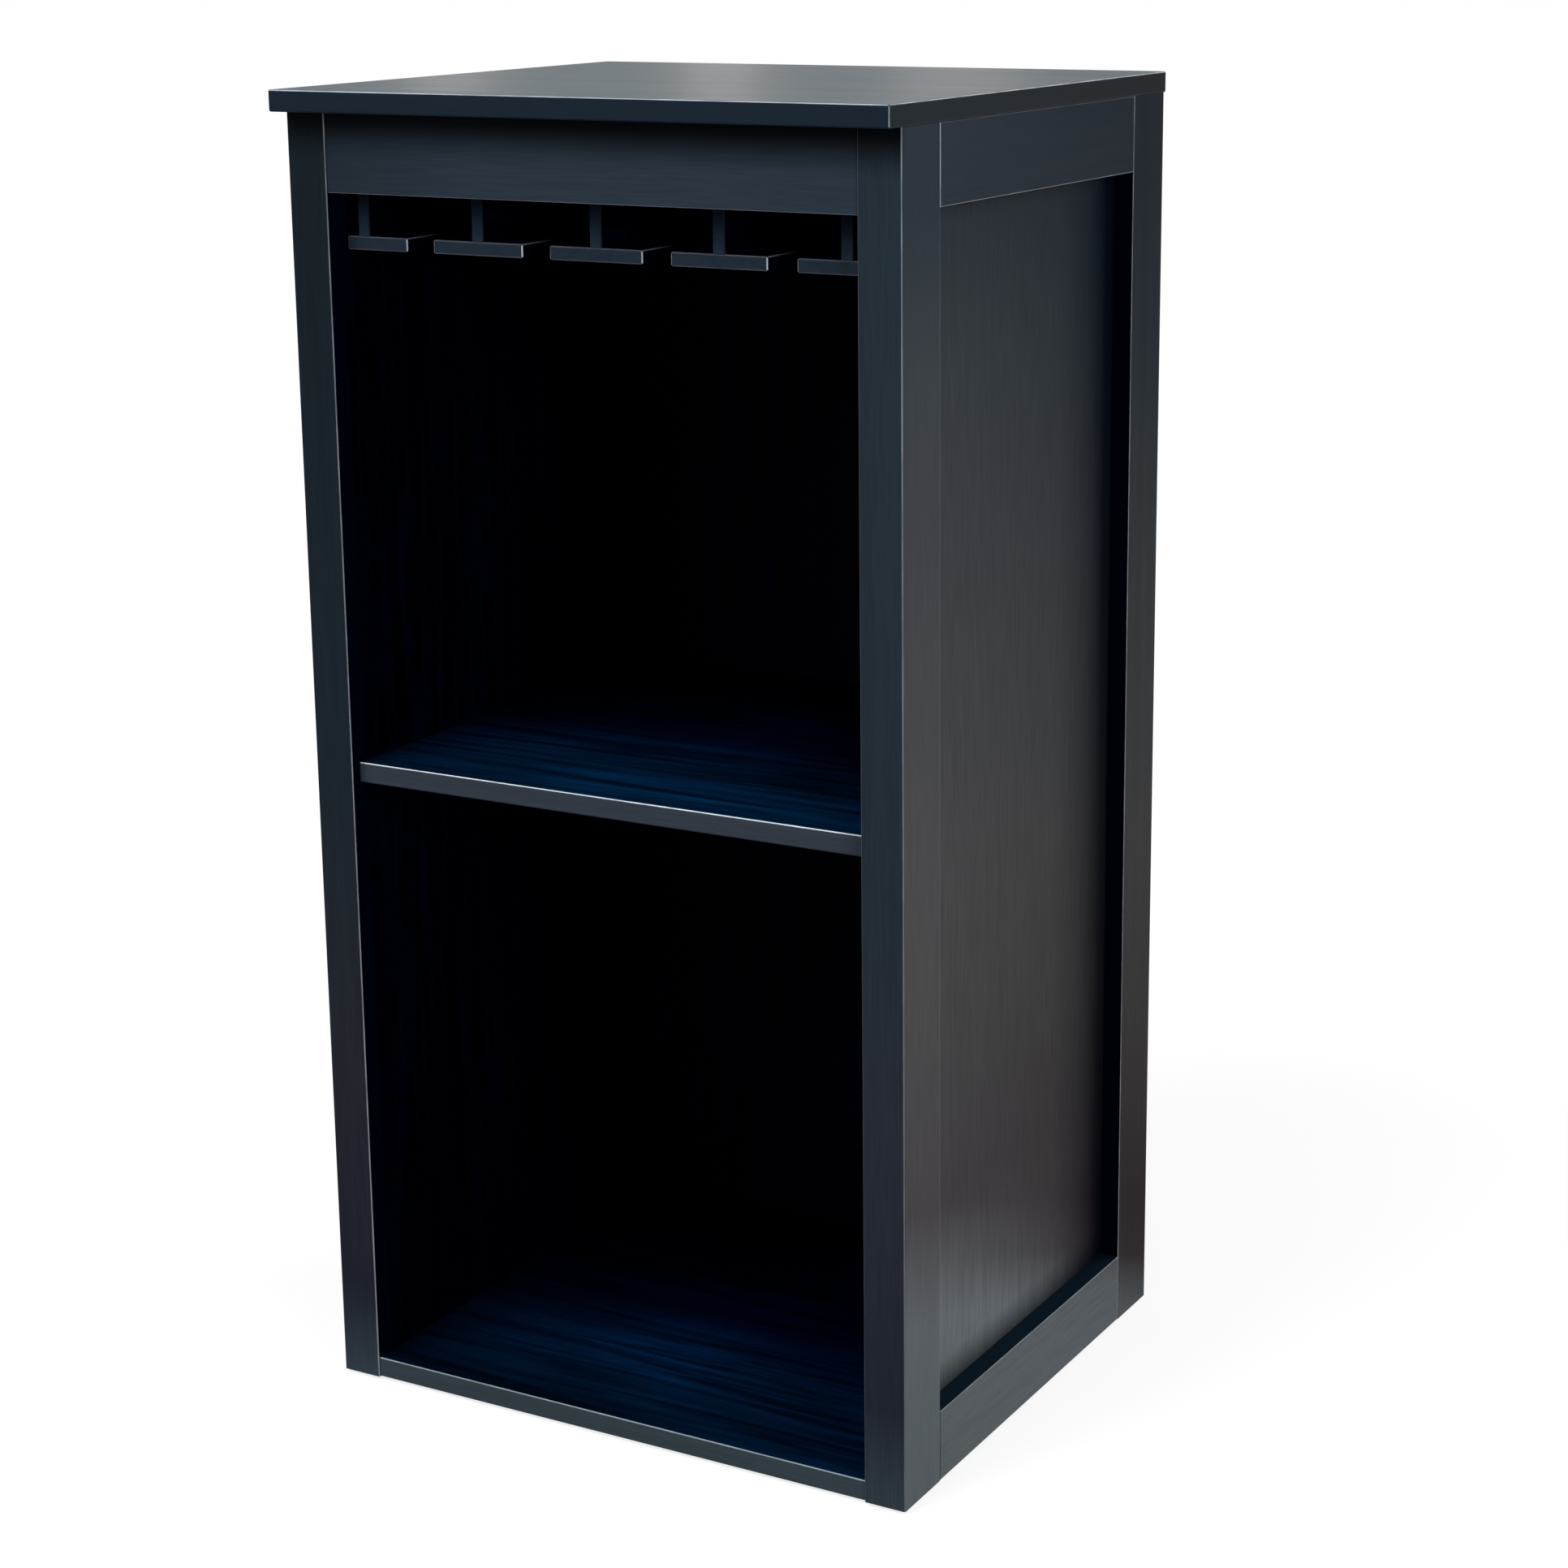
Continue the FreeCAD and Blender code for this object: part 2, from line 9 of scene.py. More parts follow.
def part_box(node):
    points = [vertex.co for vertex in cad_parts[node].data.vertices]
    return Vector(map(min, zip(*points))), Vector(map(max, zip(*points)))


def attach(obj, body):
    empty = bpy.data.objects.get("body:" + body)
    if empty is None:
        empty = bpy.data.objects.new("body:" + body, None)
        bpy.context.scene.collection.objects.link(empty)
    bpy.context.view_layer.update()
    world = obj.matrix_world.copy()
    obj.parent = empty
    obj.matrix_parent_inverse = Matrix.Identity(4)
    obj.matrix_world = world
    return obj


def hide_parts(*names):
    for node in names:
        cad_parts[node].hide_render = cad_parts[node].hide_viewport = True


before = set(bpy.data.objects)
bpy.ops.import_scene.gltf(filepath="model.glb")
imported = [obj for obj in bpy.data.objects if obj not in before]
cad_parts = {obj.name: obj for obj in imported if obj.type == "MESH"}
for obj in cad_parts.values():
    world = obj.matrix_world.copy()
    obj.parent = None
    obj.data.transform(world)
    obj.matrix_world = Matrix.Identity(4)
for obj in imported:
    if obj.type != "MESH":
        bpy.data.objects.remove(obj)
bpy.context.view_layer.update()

# Lengths are in metres, but for the sensor's width, which is in millimetres as the lens is.
# The front looks towards -Y, and the right side towards +X.
MM = 0.001

# The photograph's frame, and the camera that was fitted to the cabinet's corners in it
FRAME_PIXELS = 1932
FOCAL_PIXELS = 3989.4
CENTRE_PIXELS = (1006.0, 869.0)
SENSOR_WIDTH = 36.0
CAMERA_PLACE = Vector((1.26244, -2.1177, 1.14536))
CAMERA_BACK = Vector((0.47648, -0.845833, 0.239862))
CAMERA_RIGHT = Vector((0.872314, 0.488865, -0.008932))

# Places on the cabinet that the finishes follow, and how many rails its rack has, from the frame
PANEL_INNER, PANEL_OUTER = (corner.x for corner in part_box("right_side_panel"))
POST_IN, POST_OUT = (corner.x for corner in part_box("front_right_post"))
POST_FRONT, SEAM_FRONT = (corner.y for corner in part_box("front_right_post"))
POST_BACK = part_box("rear_right_post")[1].y
LEDGE_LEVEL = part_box("right_bottom_rail")[1].z
TOP_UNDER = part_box("top_board")[0].z
APRON_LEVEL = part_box("front_apron")[0].z
FLANGE_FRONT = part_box("rack_flange_1")[0].y
FLANGE_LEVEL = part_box("rack_flange_1")[1].z
RACK_RAILS = sum(node.startswith("rack_flange_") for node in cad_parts)

# The ends of a side rail's tenons, which lie inside the posts
RAIL_FRONT, RAIL_REAR = (corner.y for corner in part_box("right_bottom_rail"))


def make_camera():
    """The fitted camera, with its three axes squared up to each other."""
    data = bpy.data.cameras.new("photo_camera")
    data.sensor_width = SENSOR_WIDTH
    data.lens = SENSOR_WIDTH * FOCAL_PIXELS / FRAME_PIXELS
    half = FRAME_PIXELS / 2
    data.shift_x = (half - CENTRE_PIXELS[0]) / FRAME_PIXELS
    data.shift_y = (CENTRE_PIXELS[1] - half) / FRAME_PIXELS
    camera = bpy.data.objects.new("photo_camera", data)
    bpy.context.scene.collection.objects.link(camera)
    back = CAMERA_BACK.normalized()
    up = back.cross(CAMERA_RIGHT).normalized()
    right = up.cross(back)
    turn = Matrix((right, up, back)).transposed()
    camera.matrix_world = Matrix.Translation(CAMERA_PLACE) @ turn.to_4x4()
    bpy.context.scene.camera = camera


def shade(red, green, blue):
    """A linear colour from a screen's red, green and blue, each up to 255, by the sRGB curve."""
    def linear(level):
        part = level / 255
        return part / 12.92 if part <= 0.04045 else ((part + 0.055) / 1.055) ** 2.4

    return (linear(red), linear(green), linear(blue), 1.0)


# The lacquer on faces that look to the front, the posts' at heights above the floor: the lacquer as
# the front's light falls on it, painted in, with painted light at the posts' foot
FRONT = ((0.0, shade(50, 60, 68)), (0.08, shade(32, 36, 46)), (0.30, shade(38, 42, 50)),
         (0.52, shade(32, 43, 51)))
APRON = shade(38, 48, 58)
SHELF_EDGE = shade(49, 56, 65)
BOTTOM_EDGE = shade(53, 65, 71)
TOP_FRONT = shade(22, 33, 43)

# The lacquer on the rack's front ends, at shares of the way from the flanges up to the apron,
# darkening upwards with painted shadow under the apron
RACK_FRONT = ((0.0, shade(29, 39, 49)), (0.06, shade(26, 37, 48)), (0.4, shade(18, 29, 39)),
              (0.6, shade(10, 20, 30)), (1.0, shade(7, 18, 29)))

# The lacquer on the outer sides, at heights above the floor, in front and at the rear: the lacquer
# as the sides' light falls on it, painted in, with a painted reflection that is lightest in a pool
# near the floor and darker towards the top and the rear. The rails' upward ledge is painted shade.
SIDE_FRONT = ((0.0, shade(82, 89, 92)), (0.075, shade(87, 93, 97)), (0.17, shade(63, 60, 64)),
              (0.335, shade(66, 66, 67)), (0.465, shade(66, 66, 68)), (0.70, shade(54, 57, 63)),
              (0.82, shade(49, 55, 59)), (0.94, shade(34, 42, 50)))
SIDE_REAR = ((0.0, shade(88, 94, 98)), (0.08, shade(80, 86, 90)), (0.125, shade(34, 28, 30)),
             (0.17, shade(26, 19, 21)), (0.335, shade(45, 43, 44)), (0.465, shade(47, 47, 48)),
             (0.70, shade(33, 38, 42)), (0.82, shade(21, 30, 37)), (0.94, shade(14, 24, 32)))
TOP_SIDE = shade(22, 30, 36)
LEDGE = shade(13, 26, 36)

# The lacquer on the top, inside and behind. A board's navy changes at shares of the way from the
# front of the front posts to the back of the rear ones, going to black towards the back as painted
# shade. Inside the cabinet and round the side panels' recesses the lacquer is near black, painted
# shade.
TOP_FACE = shade(10, 42, 52)
SHELF_NAVY = (shade(1, 30, 55), shade(1, 24, 50))
BOTTOM_NAVY = (shade(1, 17, 36), shade(1, 27, 56))
NAVY_MIDDLE = shade(0, 4, 26)
NAVY_BACK = shade(0, 0, 6)
NAVY_SHARES = (0.0, 0.26, 0.46, 0.78)
INSIDE_DARK = shade(0, 0, 3)
INSIDE_LIGHT = shade(1, 3, 19)
RECESS_NAVY = shade(0, 3, 15)
BACK_TONE = shade(26, 29, 33)

# Painted highlights along eased edges, lighter than the faces they join, with two tones for a
# post's right-hand front corner, at the floor and at the top. SEAM_LOW is a dark seam line instead.
RIGHT_CORNER = (shade(100, 104, 110), shade(134, 138, 146))
LEFT_CORNER = (shade(150, 154, 160), shade(119, 123, 130))
REAR_CORNER = (shade(157, 158, 162), shade(142, 146, 152))
CORNER_WEAK = shade(84, 88, 96)
CORNER_SIDE = shade(122, 124, 127)
SEAM = shade(182, 188, 194)
SEAM_LOW = shade(52, 56, 62)
RAIL_UNDER = shade(122, 125, 129)
RAIL_OVER = shade(134, 138, 142)
APRON_UNDER = shade(125, 128, 145)
HIGHLIGHT_TOP_FRONT = shade(176, 182, 190)
HIGHLIGHT_TOP_SIDE = shade(173, 178, 184)
HIGHLIGHT_TOP_CORNER = shade(147, 151, 157)
HIGHLIGHT_SHELF = shade(215, 222, 231)
HIGHLIGHT_BOTTOM = shade(150, 160, 168)
FLANGE_TOP = shade(66, 72, 79)
FLANGE_UNDER = shade(96, 102, 110)
FLANGE_LEFT = shade(140, 142, 146)
FLANGE_SIDE = shade(92, 98, 110)
FLANGE_RIGHT = shade(172, 178, 192)

# Bare metal, moulded plastic and the studio's white
STEEL = shade(172, 172, 175)
GLIDE = shade(52, 52, 52)
WHITE = (1.0, 1.0, 1.0, 1.0)

# How squarely a face looks one way, where it starts to count and where it counts fully
FLAT = (0.6, 0.8)
EDGE_FACE = (0.5, 0.7)
EASED = (0.92, 0.98)
EASED_NARROW = (0.965, 0.985)

# A short length that sets how sharply one tone gives way to the next
BORDER = 1 * MM

# The noises: scale and detail, and distortion where there is one
STREAK_NOISE = (90.0, 6.0, 0.4)
FIBRE_NOISE = (620.0, 4.0, 0.2)
FIGURE_NOISE = (85.0, 5.0, 0.9)
PATCH_NOISE = (6.0, 1.0)
EDGE_NOISE = (45.0, 2.0)
MOTTLE_NOISE = (900.0, 3.0)

# The part of each noise that a finish uses, or the levels that it gives at two values
STREAK_RANGE = (0.30, 0.70)
FIBRE_RANGE = (0.35, 0.65)
FIGURE_RANGE = (0.36, 0.66)
MOTTLE_RANGE = (0.3, 0.7)
PATCH_LEVELS = ((0.38, 0.45), (0.62, 1.0))
EDGE_LEVELS = ((0.35, 0.7), (0.6, 1.0))

# The wood's grain: how far it is drawn out, how far each seed moves it, how streaks and fibres
# mix, how deep they lie and how far they shade the lacquer
GRAIN_STRETCH = 28.0
FIGURE_STRETCH = 18.0
SEED_STEPS = (1.0, 0.37, 0.71)
STREAK_SHARE = 0.45
FIBRE_SHARE = 0.55
MIX_RANGE = (0.25, 0.75)
STREAK_RELIEF = 0.4
GRAIN_DEPTH = 0.12 * MM
GRAIN_BUMP = 0.18
GRAIN_STREAK = 0.09

# The lacquer's roughness, from its dark streaks to its light ones, its gloss and its coat
SATIN = (0.40, 0.52)
DULL = (0.55, 0.65)
POLISHED = (0.34, 0.38)
SPECULAR = 0.02
COAT_ROUGHNESS = 0.30
COAT_IOR = 1.4

# The shadow under the top board, as depths below it, and the level that it dims to
SHADOW_START = 36 * MM
SHADOW_END = 2 * MM
SHADOW_LEVEL = 0.05

# The levels of the front's left end, as (height, level) pairs: painted shade darkens it, and
# painted light lifts its foot
LEFT_DIM = ((0.1, 0.86), (0.9, 0.48))
LEFT_FOOT = ((0.0, 1.35), (0.06, 1.0))

# How far the sides' painted light sinks towards the rear at the floor, and the height where none
# does
SIDE_LEAN = 0.4
RAIL_LEAN = 0.25
LEAN_TOP = 1.0


class Tree:
    """A material's or the world's nodes, added one at a time with their inputs."""

    def __init__(self, holder):
        holder.use_nodes = True
        self.nodes = holder.node_tree.nodes
        self.links = holder.node_tree.links
        self.nodes.clear()

    def add(self, kind, inputs, **settings):
        """One node, whose inputs are linked where they are sockets and set where they aren't."""
        made = self.nodes.new("ShaderNode" + kind)
        for key, value in settings.items():
            setattr(made, key, value)
        for key, value in inputs.items():
            if isinstance(value, bpy.types.NodeSocket):
                self.links.new(value, made.inputs[key])
            else:
                made.inputs[key].default_value = value
        return made

    def math(self, operation, first, second=0.0):
        return self.add("Math", {0: first, 1: second}, operation=operation).outputs[0]

    def size(self, value):
        return self.math("ABSOLUTE", value)

    def times(self, first, second):
        return self.math("MULTIPLY", first, second)

    def spread(self, value, low, high, new_low=0.0, new_high=1.0, way="LINEAR"):
        """A value's range from low to high laid over a new range, and held inside it."""
        inputs = {"Value": value, "From Min": low, "From Max": high,
                  "To Min": new_low, "To Max": new_high}
        return self.add("MapRange", inputs, interpolation_type=way).outputs["Result"]

    def fade(self, value, start, end, way="LINEAR"):
        """A level that runs between two (value, level) pairs, and stays the same past them."""
        return self.spread(value, start[0], end[0], start[1], end[1], way)

    def blend(self, factor, first, second, way="MIX"):
        """From the first colour to the second, by a factor from 0 to 1."""
        made = self.add("Mix", {0: factor, 6: first, 7: second}, data_type="RGBA", blend_type=way)
        return made.outputs[2]

    def grey(self, level):
        return self.add("CombineColor", {0: level, 1: level, 2: level}).outputs[0]

    def dim(self, colour, level):
        """A colour times a level, which makes it darker under 1 and lighter over 1."""
        return self.blend(1.0, colour, self.grey(level), "MULTIPLY")

    def ramp(self, value, stops):
        """A colour that runs through stops, each a (value, colour) pair."""
        made = self.add("ValToRGB", {"Fac": value})
        points = made.color_ramp.elements
        points.remove(points[1])
        points[0].position, points[0].color = stops[0]
        for place, colour in stops[1:]:
            points.new(place).color = colour
        return made.outputs["Color"]

    def noise(self, vector, scale, detail, distortion=0.0):
        inputs = {"Vector": vector, "Scale": scale, "Detail": detail, "Distortion": distortion}
        return self.add("TexNoise", inputs).outputs["Fac"]


class Finish(Tree):
    """A lacquered piece's material, which follows where a point lies and which way it faces."""

    def __init__(self, name, axis, seed):
        self.material = bpy.data.materials.new(name)
        super().__init__(self.material)
        self.place = self.add("TexCoord", {}).outputs["Object"]
        self.x, self.y, self.z = self.add("SeparateXYZ", {0: self.place}).outputs
        self.normal = self.add("NewGeometry", {}).outputs["True Normal"]
        self.axis = axis
        self.seed = seed

    def grain(self, stretch):
        """Object coordinates squeezed along the grain, so that noise runs into long fibres."""
        scale = [1.0, 1.0, 1.0]
        scale["XYZ".index(self.axis)] = 1.0 / stretch
        moved = [self.seed * step for step in SEED_STEPS]
        inputs = {"Vector": self.place, "Scale": scale, "Location": moved}
        return self.add("Mapping", inputs).outputs["Vector"]

    def toward(self, *way):
        """How squarely the surface faces a direction: 1 for fully, and -1 for away."""
        inputs = {0: self.normal, 1: Vector(way).normalized()}
        return self.add("VectorMath", inputs, operation="DOT_PRODUCT").outputs["Value"]

    def faces(self, *way):
        """Where the surface lies flat to a direction."""
        return self.spread(self.toward(*way), *FLAT)

    def faces_either(self, *way):
        """Where the surface lies flat to a direction or to its opposite."""
        return self.spread(self.size(self.toward(*way)), *FLAT)

    def outer_side(self):
        """The cabinet's outer left and right faces, and not the faces round its openings."""
        middle = (PANEL_INNER + PANEL_OUTER) / 2
        outside = self.spread(self.size(self.x), middle - BORDER, middle + BORDER)
        return self.times(self.faces_either(1, 0, 0), outside)

    def under_top(self, colour):
        """Darkens a colour to near black right under the top board's overhang."""
        start, end = (TOP_UNDER - SHADOW_START, 1.0), (TOP_UNDER - SHADOW_END, SHADOW_LEVEL)
        return self.dim(colour, self.fade(self.z, start, end, "SMOOTHSTEP"))

    def front_tone(self):
        """From slate at the top of a front face to painted light at its foot, darker towards the
        left with painted shade, and with the painted shadow under the top.
        """
        left = self.times(self.fade(self.z, *LEFT_DIM), self.fade(self.z, *LEFT_FOOT))
        level = self.spread(self.x, -POST_OUT, POST_OUT, left, 1.0)
        return self.under_top(self.dim(self.ramp(self.z, FRONT), level))

    def side_tone(self, lean=SIDE_LEAN):
        """The outer sides' painted light, whose tones sink towards the rear, more so near the
        floor.
        """
        slope = self.fade(self.z, (0.0, lean), (LEAN_TOP, 0.0))
        level = self.math("ADD", self.z, self.times(self.y, slope))
        front, rear = self.ramp(level, SIDE_FRONT), self.ramp(level, SIDE_REAR)
        return self.blend(self.spread(self.y, RAIL_FRONT, RAIL_REAR), front, rear)

    def recess(self, colour):
        """Leaves the faces inside the cabinet and round the side panels near black, as painted
        shade.
        """
        start, end = (PANEL_INNER + BORDER, 1.0), (PANEL_INNER + 2 * BORDER, 0.0)
        inner = self.times(self.faces_either(1, 0, 0), self.fade(self.size(self.x), start, end))
        reach = (POST_BACK + RAIL_REAR) / 2
        between = self.fade(self.size(self.y), (reach - BORDER, 1.0), (reach, 0.0))
        round_panel = self.times(self.faces_either(0, 1, 0), between)
        return self.blend(self.math("MAXIMUM", inner, round_panel), colour, RECESS_NAVY)

    def edge_lines(self, colour, edges, turn=EASED):
        """Paints patchy tones along eased edges, each a (direction, colour) pair: mostly painted
        highlights, and a dark seam line at the bottom rails' ends.
        """
        uneven = self.fade(self.noise(self.place, *EDGE_NOISE), *EDGE_LEVELS)
        for way, edge_tone in edges:
            on_edge = self.spread(self.toward(*way), *turn)
            colour = self.blend(self.times(on_edge, uneven), colour, edge_tone)
        return colour

    def figure(self):
        """The boards' fine wavy figure, as a share from dark to light."""
        fine = self.spread(self.noise(self.grain(FIGURE_STRETCH), *FIGURE_NOISE), *FIGURE_RANGE)
        patch = self.fade(self.noise(self.place, *PATCH_NOISE), *PATCH_LEVELS)
        return self.times(fine, patch)

    def inside(self):
        """The near black of the faces inside the cabinet, painted shade over a faint figure."""
        return self.blend(self.figure(), INSIDE_DARK, INSIDE_LIGHT)

    def finish(self, colour, rough=SATIN, bump=GRAIN_BUMP, streak=GRAIN_STREAK, coat=None):
        """Lacquer of a colour over the wood's grain, and a coat where one is given."""
        grain = self.grain(GRAIN_STRETCH)
        streaks = self.spread(self.noise(grain, *STREAK_NOISE), *STREAK_RANGE)
        fibres = self.noise(grain, *FIBRE_NOISE)
        fine = self.spread(fibres, *FIBRE_RANGE)
        both = self.math("ADD", self.times(streaks, STREAK_SHARE), self.times(fine, FIBRE_SHARE))
        shadow = self.spread(both, *MIX_RANGE, 1.0 - streak, 1.0 + streak)
        height = self.math("ADD", self.times(streaks, STREAK_RELIEF), fibres)
        relief = self.add("Bump", {"Strength": bump, "Distance": GRAIN_DEPTH, "Height": height})
        inputs = {"Base Color": self.dim(colour, shadow), "Normal": relief.outputs["Normal"],
                  "Roughness": self.spread(streaks, 0.0, 1.0, *rough),
                  "Specular IOR Level": SPECULAR}
        if coat is not None:
            inputs["Coat Weight"] = coat
            inputs["Coat Roughness"] = COAT_ROUGHNESS
            inputs["Coat IOR"] = COAT_IOR
        shader = self.add("BsdfPrincipled", inputs)
        self.add("OutputMaterial", {"Surface": shader.outputs["BSDF"]})
        return self.material


# Two levels of a post's side face, which are multiplied, as (depth, level) pairs: one brightens it
# just before the side rail with a painted highlight, and one dims what lies behind that with
# painted shade. The corner's painted highlight goes from its lower tone to its upper one between
# two heights. The narrow painted highlights beside both side faces turn towards the rear by a
# share.
SEAM_LINE = ((SEAM_FRONT - 1.2 * MM, 1.0), (SEAM_FRONT - 0.7 * MM, 1.9))
POST_LEVELS = ((SEAM_FRONT, 1.0), (0.0, 0.45))
CORNER_HEIGHTS = (0.1, 0.9)
SIDE_EDGE_TURN = 0.3


def post_finish(name, corner, seed):
    """A post in the front's and the sides' painted light, with the painted highlight of its
    right-hand front corner toned at the floor and the top.
    """
    made = Finish(name, "Z", seed)
    level = made.times(made.fade(made.y, *SEAM_LINE), made.fade(made.y, *POST_LEVELS))
    side = made.dim(made.side_tone(), level)
    tone = made.recess(made.blend(made.outer_side(), made.front_tone(), side))
    edge_tone = made.blend(made.spread(made.z, *CORNER_HEIGHTS), *corner)
    beside = [((across, SIDE_EDGE_TURN, 0), CORNER_SIDE) for across in (1, -1)]
    edges = [((1, -1, 0), edge_tone), ((-1, -1, 0), CORNER_WEAK), ((1, 1, 0), CORNER_WEAK),
             ((-1, 1, 0), CORNER_WEAK)]
    return made.finish(made.edge_lines(made.edge_lines(tone, beside, EASED_NARROW), edges))


# The levels of the apron's left end, as (place, level) pairs: painted shade that darkens it
APRON_LEFT = ((-POST_IN, 0.7), (-0.4 * POST_IN, 1.0))


def cross_rail_finish(name, seed):
    """The apron and its twin at the rear, with painted shade at the left end and under the top, and
    painted highlights along their lower edges.
    """
    made = Finish(name, "X", seed)
    tone = made.under_top(made.dim(APRON, made.fade(made.x, *APRON_LEFT)))
    edges = [((0, -1, -1), APRON_UNDER), ((0, 1, -1), APRON_UNDER)]
    return made.finish(made.edge_lines(tone, edges))


# How far the painted highlight under a side rail turns down
RAIL_UNDER_TURN = 0.5


def side_rail_finish(name, across, ends, over, seed):
    """A side rail with painted highlights round its outer face, which looks to -X or +X as across
    says, and near black inner faces and a darker upward ledge, painted shade.
    """
    made = Finish(name, "Y", seed)
    upward = made.faces(0, 0, 1)
    tone = made.blend(made.outer_side(), INSIDE_DARK, made.side_tone(RAIL_LEAN))
    tone = made.blend(upward, tone, LEDGE)
    edges = [((across, -1, 0), ends), ((across, 1, 0), ends),
             ((across, 0, -RAIL_UNDER_TURN), RAIL_UNDER), ((across, 0, 1), over)]
    return made.finish(made.edge_lines(tone, edges))


# A panel's levels near the floor, a pool of painted light, and in its foot's painted shadow, as
# (height, level) pairs, and the share of navy painted shadow towards its rear edge, as (depth,
# share) pairs
PANEL_POOL = ((0.15, 1.24), (0.22, 0.91))
PANEL_FOOT = ((LEDGE_LEVEL, 0.25), (LEDGE_LEVEL + 25 * MM, 1.0))
PANEL_REAR = ((RAIL_REAR - 110 * MM, 0.0), (RAIL_REAR - 5 * MM, 0.93))
PANEL_STREAK = 0.14


def panel_finish(name, seed):
    """A side panel with a pool of painted light near the floor, painted shadow at the rear and at
    the foot of its recess, and near black painted shade inside.
    """
    made = Finish(name, "Z", seed)
    pool = made.fade(made.z, *PANEL_POOL, "SMOOTHSTEP")
    rear = made.fade(made.y, *PANEL_REAR)
    foot = made.fade(made.z, *PANEL_FOOT)
    outside = made.blend(rear, made.dim(made.side_tone(), made.times(pool, foot)), RECESS_NAVY)
    tone = made.blend(made.outer_side(), made.inside(), outside)
    return made.finish(tone, streak=PANEL_STREAK)


def inside_finish(name, axis, seed):
    """A piece that only shows inside the cabinet, near black as painted shade, with the grain along
    an axis.
    """
    made = Finish(name, axis, seed)
    return made.finish(made.inside(), rough=DULL)


def back_finish(name, seed):
    """The back panel: near black inside as painted shade, and a dull dark grey where it faces the
    wall.
    """
    made = Finish(name, "Z", seed)
    tone = made.blend(made.faces(0, 1, 0), made.inside(), BACK_TONE)
    return made.finish(tone, rough=DULL)


# A board's levels across its left half, as (place, level) pairs, are painted shade. Behind its
# front stretch the right half darkens to a level with painted shadow, fully so from one place on.
# Its figure runs between two levels.
BOARD_LEFT = ((-POST_IN, 0.6), (0.0, 1.0))
BOARD_DEPTHS = (POST_FRONT + 30 * MM, POST_FRONT + 120 * MM)
BOARD_RIGHT_FULL = 0.6 * POST_IN
BOARD_FIGURE = (0.35, 1.9)
BOARD_STREAK = 0.08
SHELF_RIGHT_LEVEL = 0.3
BOTTOM_RIGHT_LEVEL = 0.5


def board_finish(name, navy, edge, edge_tone, right_level, seed):
    """The shelf and the bottom board: navy figure above, painted shade towards the back, the left
    and the right, a lacquered front edge and a painted highlight along its top.
    """
    made = Finish(name, "X", seed)
    stops = list(zip(NAVY_SHARES, (*navy, NAVY_MIDDLE, NAVY_BACK)))
    deep = made.ramp(made.spread(made.y, POST_FRONT, POST_BACK), stops)
    behind = made.spread(made.y, *BOARD_DEPTHS, 1.0, right_level)
    left = made.fade(made.x, *BOARD_LEFT)
    sides = made.times(left, made.spread(made.x, 0.0, BOARD_RIGHT_FULL, 1.0, behind))
    figure = made.spread(made.figure(), 0.0, 1.0, *BOARD_FIGURE)
    figured = made.dim(deep, made.times(figure, sides))
    tone = made.blend(made.spread(made.toward(0, -1, 0), *EDGE_FACE), figured, edge)
    return made.finish(made.edge_lines(tone, [((0, -1, 1), edge_tone)]), streak=BOARD_STREAK)


# The levels of the top board's side edge, as (depth, level) pairs, painted shade towards the rear,
# the weight of the coat on its upper face, and how deep its grain lies and how far it shades the
# lacquer
TOP_SIDE_LEVELS = ((RAIL_FRONT, 1.0), (RAIL_REAR, 0.4))
TOP_COAT = 0.05
TOP_BUMP = 0.08
TOP_STREAK = 0.05


def top_finish(name, seed):
    """The top board, glossier above than round its edges, with painted highlights along its edges.
    """
    made = Finish(name, "X", seed)
    upward = made.faces(0, 0, 1)
    side = made.dim(TOP_SIDE, made.fade(made.y, *TOP_SIDE_LEVELS))
    tone = made.blend(made.faces_either(1, 0, 0), TOP_FRONT, side)
    tone = made.blend(upward, tone, TOP_FACE)
    edges = [((0, -1, 1), HIGHLIGHT_TOP_FRONT), ((1, 0, 1), HIGHLIGHT_TOP_SIDE),
             ((-1, 0, 1), HIGHLIGHT_TOP_SIDE), ((1, -1, 0), HIGHLIGHT_TOP_CORNER)]
    coat = made.times(upward, TOP_COAT)
    return made.finish(made.edge_lines(tone, edges), POLISHED, TOP_BUMP, TOP_STREAK, coat)


# The levels of the painted highlight along a flange's upper side edges, as (depth, level) pairs
FLANGE_HIGHLIGHT = ((FLANGE_FRONT, 1.0), (FLANGE_FRONT + 45 * MM, 0.0))


def rack_finish(name, edges, seed):
    """A rack rail, lacquered on its front end, with painted shadow under the apron and painted
    highlights, and near black painted shade along its length.
    """
    made = Finish(name, "Y", seed)
    front = made.ramp(made.spread(made.z, FLANGE_LEVEL, APRON_LEVEL), RACK_FRONT)
    tone = made.blend(made.faces(0, -1, 0), made.inside(), front)
    side = made.dim(FLANGE_SIDE, made.fade(made.y, *FLANGE_HIGHLIGHT))
    return made.finish(made.edge_lines(tone, [((1, 0, 1), side), ((-1, 0, 1), side), *edges]))


# The fine mottle of metal and plastic: its lowest level, its change of roughness and its relief,
# and how rough the metal and the plastic are
MOTTLE_LEVEL = 0.7
MOTTLE_ROUGH = 0.06
MOTTLE_BUMP = 0.1
MOTTLE_DEPTH = 0.02 * MM
STEEL_ROUGHNESS = 0.3
GLIDE_ROUGHNESS = 0.5


